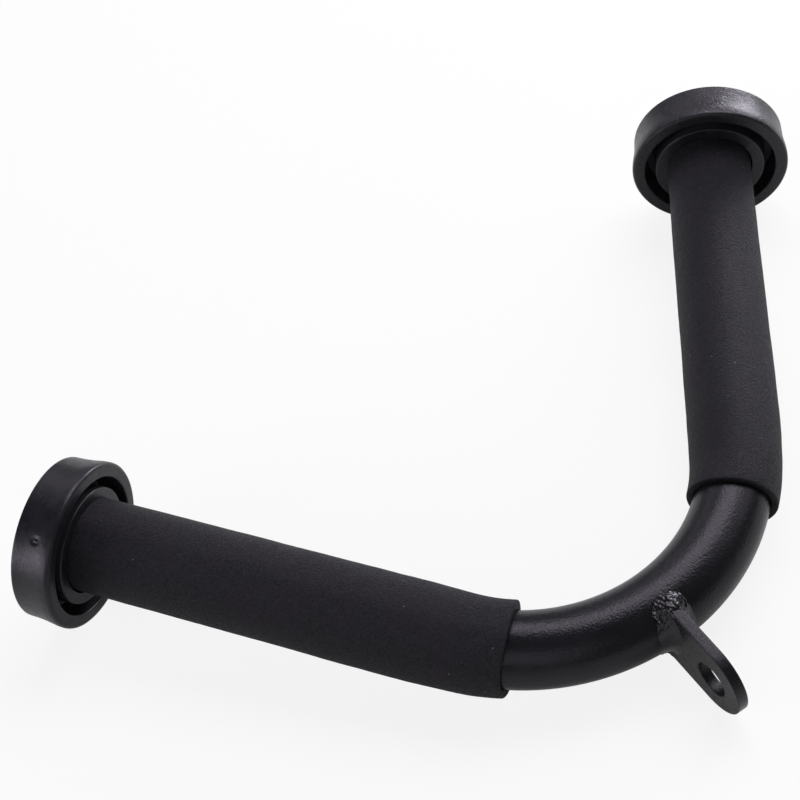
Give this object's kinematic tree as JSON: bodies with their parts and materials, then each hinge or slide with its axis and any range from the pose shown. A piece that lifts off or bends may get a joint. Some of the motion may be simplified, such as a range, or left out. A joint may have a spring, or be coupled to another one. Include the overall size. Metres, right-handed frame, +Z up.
{
  "type": "V-shaped cable handle",
  "caption": "V-shaped pull-down handle for a cable machine: bent tube with foam grips, flanged end stops and a welded lug with a hole for a snap hook.",
  "frame": {"origin": "on the floor that the handle rests on, under the middle of its box", "axes": "+X from the left stop to the right stop, +Y from the lug to the open side of the V, +Z up"},
  "size_m": [0.3694, 0.2276, 0.0649],
  "materials": {
    "tube_coat": "satin black powder coat with a fine orange peel",
    "lug_coat": "satin black powder coat on flat bar",
    "weld_coat": "glossy black powder coat on a rough weld bead",
    "foam": "matte closed-cell foam, finely mottled",
    "stop_plastic": "satin moulded plastic",
    "bare_steel": "turned",
    "black_steel": "black oxide"
  },
  "bodies": {
    "root": {"handle_tube": "tube_coat", "cable_lug": "lug_coat", "lug_weld_left": "weld_coat", "lug_weld_right": "weld_coat", "foam_grip_left": "foam", "foam_grip_right": "foam", "end_stop_left": "stop_plastic", "end_stop_right": "stop_plastic", "thread_insert_left": "bare_steel", "thread_insert_right": "bare_steel", "end_washer_left": "black_steel", "end_washer_right": "black_steel", "end_screw_left": "black_steel", "end_screw_right": "black_steel"}
  },
  "joints": []
}
